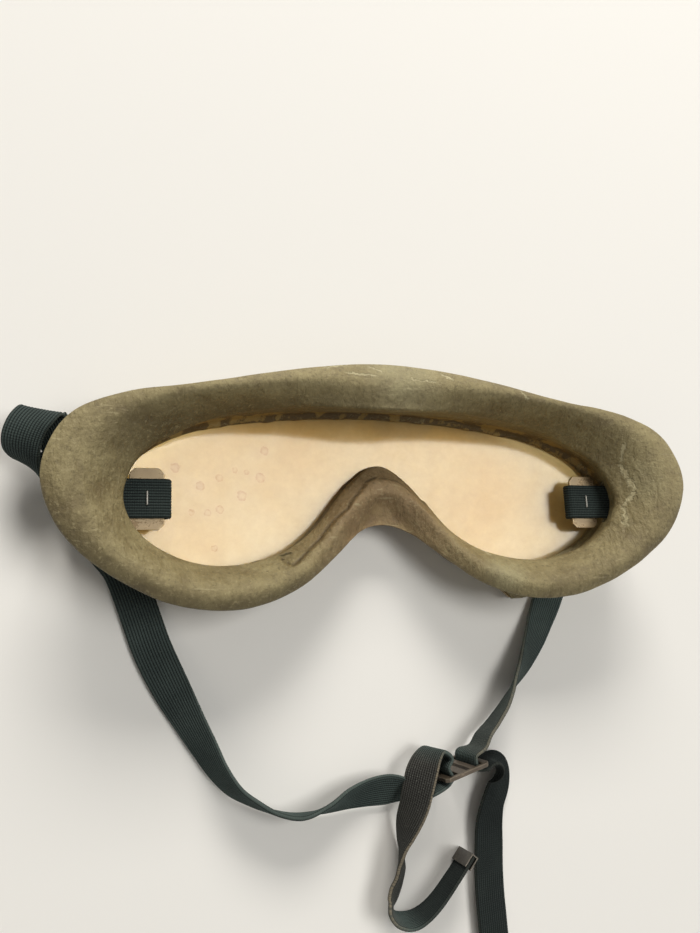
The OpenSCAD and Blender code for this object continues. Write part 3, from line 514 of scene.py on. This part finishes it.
def make_frame():
    mesh = rounded_frame()
    for mark in FRAME_MARKS:
        mesh.attributes.new(mark, "FLOAT", "POINT")
    channel, crown, step_shade_line, web, painted_shade = (mesh.attributes[mark].data for mark in FRAME_MARKS)
    facing = [vertex.normal.copy() for vertex in mesh.vertices]
    for vertex, out in zip(mesh.vertices, facing):
        x, y, z = vertex.co / MM
        above = z - front_z(x)
        to_eye = Vector((math.copysign(EYE_X, x) - x, EYE_Y - y, 0)).normalized()
        # The channel's inner wall facing the eye and its rear lip get painted brown shade, weaker on the
        # chin side.
        on_lip = out.z > LIP_FACING and SHADED_LIP_LOW < above < SHADED_LIP_HIGH and y > 0
        on_wall = out.z < WALL_FACING and out.dot(to_eye) > EYE_FACING and above > SHADED_WALL_LOW
        if on_lip or on_wall:
            strip = ramp(above, *CHANNEL_SHADE)
            channel[vertex.index].value = strip if y > 0 else CHIN_SIDE_SHADE * strip
        if above > CROWN_LOW:
            crown[vertex.index].value = ramp(out.z, *CROWN_FACING)
        # Painted shade on the slopes that face the chin, away from the window lamp: left off over the nose,
        # weakest high up and to the right.
        nose_unshaded = 0.0 if y > NOSE_UNSHADED_TOP else ramp(abs(x), *NOSE_UNSHADED)
        deep = SHADE_LEAST_HIGH + (1 - SHADE_LEAST_HIGH) * ramp(above, *SHADE_HEIGHT)
        left = SHADE_LEAST_RIGHT + (1 - SHADE_LEAST_RIGHT) * ramp(x, *SHADE_ACROSS)
        painted_shade[vertex.index].value = ramp(-out.y, *SHADE_FACING) * (1 - nose_unshaded) * deep * left
        if abs(x) < NOSE_HALF and NOSE_LOW < y < NOSE_TOP and above > NOSE_RISE[0]:
            raised = ramp(above, *NOSE_RISE)
            band, foot = left_of(STEP, x, y), left_of(FOOT, x, y)
            if band is not None and BAND_REACH[0] < band < BAND_REACH[1]:
                # A dark line painted along the step as shade; the band beside it sinks.
                step_shade_line[vertex.index].value = raised * ramp(abs(band), STEP_SHADE_HALF, 0)
                vertex.co.z -= BAND_SINK * raised * ramp(band, *BAND_SLOPE) * MM
            if foot is not None and foot < 0:
                depth = ramp(foot, *WEB_SLOPE)
                web[vertex.index].value = depth
                vertex.co.z -= WEB_SINK * raised * depth * MM
        if LIP_LOW < above < LIP_HIGH and out.z > -LIP_FACING:
            vertex.co += to_eye * (LIP_WAVE * noise.noise(vertex.co / (LIP_WAVE_SIZE * MM)) * MM)
        lump = (LUMP * noise.noise(vertex.co / (LUMP_SIZE * MM))
                + DIMPLE * noise.noise(vertex.co / (DIMPLE_SIZE * MM)))
        vertex.co += out * (lump * ramp(above, *SAGGING) * MM)
    add_piece("rubber_frame", mesh, "root", [RUBBER], "frame")


# The lens: the CAD sheet shaded as one true bend, without its facets. Its faces lie flatter
# than SHEET_FACING; its rim doesn't, and keeps its own shading.
SHEET_FACING = 0.7


def make_lens():
    mesh = mesh_of(merged_copy("lens"), "lens_sheet")
    shading = [None] * len(mesh.loops)
    for polygon in mesh.polygons:
        for loop in polygon.loop_indices:
            x = mesh.vertices[mesh.loops[loop].vertex_index].co.x / MM
            tilt = math.copysign(max(0.0, abs(x) - FLAT_HALF) / FRONT_R, -x)
            bend = Vector((tilt, 0, math.sqrt(1 - tilt * tilt)))
            face = polygon.normal
            shading[loop] = bend * math.copysign(1, face.z) if abs(face.z) > SHEET_FACING else face.copy()
    mesh.normals_split_custom_set(shading)
    add_piece("lens_sheet", mesh, "root", [ACETATE], "lens")


make_frame()
make_lens()


# A unit vector from an azimuth and an elevation in radians.
def heading(azimuth, elevation):
    level = math.cos(elevation)
    return Vector((level * math.cos(azimuth), level * math.sin(azimuth), math.sin(elevation)))


# Sizes in mm. Each toggle plate lies in its strap's end loop, whose straight parts stop
# PLATE_INSET inside the plate's ends. The webbing enters the frame's slot at SLOT_START from
# the plate's middle, and the loop's last place, IN_SLOT, lies inside that slot.
TOGGLE_X, TOGGLE_Y, TOGGLE_L = 67.5, -4.5, 9
TOGGLE_Z, LOOP_R = 14.0, 1.3
PLATE_INSET, SLOT_START, IN_SLOT = 1, 5.6, 14.1
# The buckle stands on its edge: its middle, how it is turned, and its own directions.
BUCKLE_AT = Vector((19.8, -81.3, 8.2))
BUCKLE_AZ, BUCKLE_EL, BUCKLE_ROLL = (math.radians(a) for a in (11.5, -8.5, 93.5))
BUCKLE_L, BAR_W, LOOP_SLOT, BUCKLE_T = 15.2, 1.9, 2.6, 1.2
B_ALONG = heading(BUCKLE_AZ, BUCKLE_EL)
B_LEVEL = Vector((-math.sin(BUCKLE_AZ), math.cos(BUCKLE_AZ), 0))
B_ACROSS = math.cos(BUCKLE_ROLL) * B_LEVEL + math.sin(BUCKLE_ROLL) * B_ALONG.cross(B_LEVEL)
B_UP = B_ALONG.cross(B_ACROSS)
# How the webbing turns round the buckle's end bar: places along the buckle and above it.
WRAP = BUCKLE_T / 2 + STRAP_T / 2 + 0.55
END_A = -BUCKLE_L / 2
SLOT_A = END_A + BAR_W + LOOP_SLOT / 2
BAR_TURN = [
    (END_A - 0.8, WRAP + 0.5), (END_A + 1.4, WRAP), (SLOT_A - 0.3, WRAP - 0.7), (SLOT_A, 0),
    (SLOT_A - 0.6, -2.4)]


# A route's row holds a place in mm, then the azimuth and elevation of the webbing's width.
def route_point(row):
    x, y, z, azimuth, elevation = row
    return Vector((x, y, z)), heading(math.radians(azimuth), math.radians(elevation))


def turn_points(side):
    order = BAR_TURN if side < 0 else BAR_TURN[::-1]
    return [(BUCKLE_AT + B_ALONG * (-side * x) + B_UP * z, B_ACROSS) for x, z in order]


def toggle_loop(side):
    end_x, back_x = TOGGLE_X - TOGGLE_L / 2, TOGGLE_X + TOGGLE_L / 2 - PLATE_INSET
    turn = []
    for degrees in range(-90, 91, 30):
        angle = math.radians(degrees)
        turn.append((end_x - LOOP_R * math.cos(angle), LOOP_R * math.sin(angle)))
    under = [(back_x, -LOOP_R), (TOGGLE_X, -LOOP_R), (end_x + PLATE_INSET, -LOOP_R)]
    outward = (end_x + PLATE_INSET, TOGGLE_X, TOGGLE_X + SLOT_START, TOGGLE_X + IN_SLOT)
    over = [(x, LOOP_R) for x in outward]
    return [(Vector((side * x, TOGGLE_Y, TOGGLE_Z + z)), Vector((0, side, 0)))
            for x, z in under + turn + over]


def strap_route(side, run, tail):
    return (toggle_loop(side) + [route_point(row) for row in run] + turn_points(side)
            + [route_point(row) for row in tail])


LEFT_RUN = [
    (-86, -4.4, 15.2, 270, -25), (-87.6, -1.6, 14.8, 265, -60), (-88.2, 2.4, 14, 220, -82),
    (-88.8, 6.6, 12, 185, -62), (-90, 11, 10, 175, -42), (-91.6, 15, 8.6, 172, -24),
    (-93, 17.6, 8.6, 170, -12), (-93.8, 18.8, 10.8, 170, -8), (-94.8, 18, 13.4, 168, -8),
    (-97, 14.8, 14.6, 168, -10), (-98.4, 10.8, 14, 166, -14), (-98.4, 7.4, 12, 158, -22),
    (-97, 5.2, 9, 144, -32), (-94.2, 4.6, 6.4, 118, -16), (-90.6, 4.4, 5.2, 102, -4),
    (-87.2, 2.2, 4.8, 76, 0), (-84.8, -2.2, 4.6, 52, 6), (-83, -7.4, 4.2, 42, 12),
    (-81.2, -12.6, 3.8, 38, 14), (-77, -17, 2.8, 40, 10), (-73.2, -21.8, 2, 32, 6),
    (-70.5, -28, 1.4, 22, 3), (-67.8, -35.6, 1.2, 20, 3), (-64.8, -44, 1.6, 22, 8),
    (-60.6, -53, 2.8, 26, 22), (-55.7, -62.3, 4.2, 30, 42), (-51.8, -69.3, 4.8, 34, 52),
    (-48, -76, 5.2, 40, 62), (-43.8, -81.3, 5.4, 45, 70), (-38.9, -84.8, 5.5, 52, 76),
    (-33, -88, 5.5, 60, 82), (-26, -89.8, 5.5, 72, 82), (-18.5, -88.8, 5.3, 95, 68),
    (-11.5, -87, 4.4, 112, 48), (-5, -86.2, 3.6, 115, 34), (1, -86.2, 3.3, 115, 28),
    (6, -86.6, 3.9, 108, 44), (9.6, -86.4, 6, 86, 72)]
LEFT_TAIL = [
    (15.7, -77.4, 9.2, -8, 82), (12.8, -75.6, 9.5, 0, 76), (10.2, -77.6, 10.2, 0, 64),
    (8.2, -81, 10.8, 0, 56), (6.8, -85.2, 10.8, 0, 60), (5.6, -90, 9.8, 0, 66),
    (3.9, -95.2, 8, 0, 78), (2.8, -100, 6.6, 180, 81), (2.6, -104.3, 5.8, 180, 65),
    (2.4, -107.8, 5.5, 180, 56), (1.3, -111, 5, 180, 50), (0.1, -114.2, 5, 180, 54),
    (-0.7, -116.8, 5.4, 185, 68), (0.6, -119.3, 5.6, 200, 80), (3.8, -120.3, 5.7, 250, 85),
    (7.8, -119.6, 5.7, 180, 87), (12.6, -116.7, 5.7, 132, 84), (18.6, -110.8, 5.7, 132, 82),
    (23.4, -105.5, 5.7, 132, 82)]
RIGHT_RUN = [
    (86, -5, 14.9, 90, 0), (87.9, -5, 13.2, 90, 0), (87.9, -5.3, 9.5, 90, 0),
    (85.6, -6, 5.6, 92, 0), (81.5, -7.8, 3, 105, 0), (77, -10.5, 2.2, 125, 10),
    (73.2, -14, 2.6, 138, 24), (69.6, -18.6, 2.3, 140, 20), (66.8, -22.5, 1.3, 145, 6),
    (63.2, -28, 0.8, 150, 0), (59.6, -35, 1, 156, 3), (56.2, -41, 1.5, 158, 12),
    (52.7, -47, 2.4, 160, 24), (48.2, -53.5, 3.6, 160, 40), (43.8, -58.7, 4.8, 160, 56),
    (41, -62.4, 5.4, 160, 68), (37.8, -66.4, 6, 158, 76), (34.2, -70, 6.4, 150, 80),
    (30.3, -73.2, 7.2, 100, 84), (27.8, -76.4, 7.6, 60, 84)]
RIGHT_TAIL = [
    (31.6, -80.9, 6.6, 180, 80), (34.6, -82.2, 5.6, 180, 56), (36.3, -85.2, 4, 180, 34),
    (36, -89.2, 3, 172, 24), (33.9, -94, 2.8, 172, 22), (32.7, -99, 2.3, 168, 16),
    (32.2, -105.5, 2, 169, 13), (31.7, -112.3, 1.9, 169, 12), (31.6, -119, 1.9, 168, 12),
    (31.8, -125, 1.9, 168, 12), (32, -131, 1.9, 168, 12), (32.3, -138, 1.9, 168, 12)]
LEFT_ROUTE = strap_route(-1, LEFT_RUN, LEFT_TAIL)
RIGHT_ROUTE = strap_route(1, RIGHT_RUN, RIGHT_TAIL)


def spline(points, steps):
    ends = [2 * points[0] - points[1]] + points + [2 * points[-1] - points[-2]]
    out = []
    for p0, p1, p2, p3 in zip(ends, ends[1:], ends[2:], ends[3:]):
        for k in range(steps):
            t = k / steps
            out.append(0.5 * (2 * p1 + (p2 - p0) * t + (2 * p0 - 5 * p1 + 4 * p2 - p3) * t * t
                              + (3 * p1 - p0 - 3 * p2 + p3) * t ** 3))
    return out + [points[-1]]


# Section of the webbing in mm, ribbed on both faces: across, up and how near a rib's crest.
# A rib's shape goes by its share of the pitch and its share of the height; the sides are rounded.
EDGE = 0.3
RIB_H, RIB_BASE = 0.13, 0.1
RIB_SHAPE = ((0.08, 0), (0.3, 0.8), (0.5, 1), (0.7, 0.8), (0.92, 0))
SIDE_SHAPE = ((0.05, 0.3, 0.8), (0, 0, 1), (0.05, -0.3, 0.8))
# Places of the webbing for each row of its route, and the raggedness of its cut end.
ROUTE_STEPS = 7
TEAR_PITCH, TEAR_SEED = 1.7, 3.1


def webbing_section():
    pitch = (STRAP_W - 2 * EDGE) / RIBS
    top = [(STRAP_W / 2 - EDGE - (i + share) * pitch, STRAP_T / 2 - RIB_BASE + RIB_H * crest, crest)
           for i in range(RIBS) for share, crest in RIB_SHAPE]
    side = [(-STRAP_W / 2 + inset, y, crest) for inset, y, crest in SIDE_SHAPE]
    return top + side + [(x, -y, r) for x, y, r in reversed(top)] + [(-x, -y, r) for x, y, r in side]


def faded_at(stops, share):
    for (a, first), (b, last) in zip(stops, stops[1:]):
        if share <= b:
            return first + (last - first) * (share - a) / (b - a)
    return stops[-1][1]


# The webbing's section drawn along its route ring by ring, with its first end frayed.
def make_strap(name, node, route, stops, fray):
    places = spline([place for place, width in route], ROUTE_STEPS)
    widths = spline([width for place, width in route], ROUTE_STEPS)
    total = sum((b - a).length for a, b in zip(places, places[1:]))
    section = webbing_section()
    bm = bmesh.new()
    layers = {key: bm.verts.layers.float.new(key) for key in ("along", "across", "faded", "rib")}
    ring = [bm.verts.new((0, 0, 0)) for point in section]
    bm.faces.new(ring)
    length = 0.0
    for i, place in enumerate(places):
        ahead = (places[min(i + 1, len(places) - 1)] - places[max(i - 1, 0)]).normalized()
        width = (widths[i] - ahead * widths[i].dot(ahead)).normalized()
        face = ahead.cross(width)
        if i:
            length += (place - places[i - 1]).length
            edges = [bm.edges.get((a, b)) for a, b in zip(ring, ring[1:] + ring[:1])]
            grown = bmesh.ops.extrude_edge_only(bm, edges=edges)["geom"]
            fresh = {v for v in grown if isinstance(v, bmesh.types.BMVert)}
            ring = [next(e.other_vert(v) for e in v.link_edges if e.other_vert(v) in fresh) for v in ring]
        for vertex, (x, y, crest) in zip(ring, section):
            torn = 0.0 if i else fray * noise.noise(Vector((x * TEAR_PITCH, y, TEAR_SEED)))
            vertex.co = (place + ahead * torn + width * x + face * y) * MM
            vertex[layers["along"]] = length * MM
            vertex[layers["across"]] = x * MM
            vertex[layers["faded"]] = faded_at(stops, length / total)
            vertex[layers["rib"]] = crest
    bm.faces.new(ring[::-1])
    bmesh.ops.recalc_face_normals(bm, faces=bm.faces)
    add_piece(name, mesh_of(bm, name, 60), "root", [WEBBING], node)


# How faded the webbing is, by share of its length: dark at its ends, grey on the bent tail.
LEFT_FADED = [
    (0, 0.2), (0.3, 0.35), (0.5, 0.4), (0.77, 0.45), (0.79, 1), (0.9, 0.95), (0.94, 0.15), (1, 0.05)]
RIGHT_FADED = [(0, 0.15), (0.35, 0.4), (0.6, 0.75), (0.66, 0.75), (0.69, 0.05), (1, 0.1)]
make_strap("left_webbing", "left_strap", LEFT_ROUTE, LEFT_FADED, 1.5)
make_strap("right_webbing", "right_strap", RIGHT_ROUTE, RIGHT_FADED, 0.5)

for side in ("left", "right"):
    small_part(side + "_toggle", side + "_toggle_plate", side + "_toggle", [TOGGLE_FACE, TOGGLE_EDGE],
               0.2)
    small_part(side + "_staple", side + "_toggle_staple", "root", [STAPLE_WIRE], 0)
    small_part(side + "_strap_tip", side + "_folded_tip", "root", [TIP_STEEL], 0.08)
for tab in ("top", "left", "right"):
    small_part(tab + "_snap_tab", tab + "_tab_flap", tab + "_tab", [FLAP_RUBBER], 0.3)
    small_part(tab + "_snap_cap", tab + "_domed_cap", tab + "_tab", [SNAP_BRASS], 0.1)
    small_part(tab + "_snap_socket", tab + "_socket_cup", tab + "_tab", [SNAP_BRASS], 0.12)
small_part("snap_studs", "studs", "root", [SNAP_BRASS], 0.1)
small_part("snap_eyelets", "eyelets", "root", [SNAP_BRASS], 0.1)
small_part("buckle", "slide_buckle", "root", [BUCKLE_FACE, BUCKLE_EDGE], 0.22)


# Plain pale paper floor, matt and even: its half width in metres, laid just under the part.
FLOOR_HALF, FLOOR_DROP = 1.2, 0.4 * MM


def make_floor():
    bm = bmesh.new()
    bmesh.ops.create_grid(bm, x_segments=1, y_segments=1, size=FLOOR_HALF)
    bmesh.ops.translate(bm, verts=bm.verts, vec=(0, 0, -FLOOR_DROP))
    floor = bpy.data.objects.new("floor", mesh_of(bm, "floor"))
    scene.collection.objects.link(floor)
    made, tree = new_material("matt_floor_paper")
    surface = add(tree, "BsdfPrincipled", {"Base Color": colour("#f1f0ed"), "Roughness": 0.9})
    add(tree, "OutputMaterial", {"Surface": surface[0]})
    floor.data.materials.append(made)


def area_light(name, place, size, power, tint):
    data = bpy.data.lights.new(name, "AREA")
    data.shape = "RECTANGLE"
    data.size, data.size_y = size
    data.energy = power
    data.color = colour(tint)[:3]
    light = bpy.data.objects.new(name, data)
    light.location = place
    light.rotation_euler = (-Vector(place)).to_track_quat("-Z", "Y").to_euler()
    scene.collection.objects.link(light)


make_floor()
# Lamps: place and size in metres, power in watts, all turned to the part's origin.
area_light("window", (0.0, 1.6, 0.95), (0.9, 0.6), 28, "#fffaf2")
area_light("skylight", (0.7, 0.1, 1.9), (0.9, 0.8), 18.5, "#fffdf8")
area_light("fill", (-1.2, -0.9, 1.4), (1.2, 1.0), 2, "#fff0d8")


# The studio's air: dim as a light, pale where it is seen, mirrored or seen through the lens.
AIR_AS_LIGHT = 0.16


def make_world():
    world = bpy.data.worlds.new("studio")
    world.use_nodes = True
    tree = world.node_tree
    tree.nodes.clear()
    ray = add(tree, "LightPath")
    seen = add(tree, "Math", {0: ray["Is Camera Ray"], 1: ray["Is Glossy Ray"]}, operation="MAXIMUM")[0]
    seen = add(tree, "Math", {0: seen, 1: ray["Is Transmission Ray"]}, operation="MAXIMUM")[0]
    level = add(tree, "MapRange", {0: seen, 3: AIR_AS_LIGHT, 4: 1})[0]
    air = add(tree, "Background", {"Color": colour("#f3f2ef"), "Strength": level})
    add(tree, "OutputWorld", {"Surface": air[0]})
    scene.world = world


make_world()
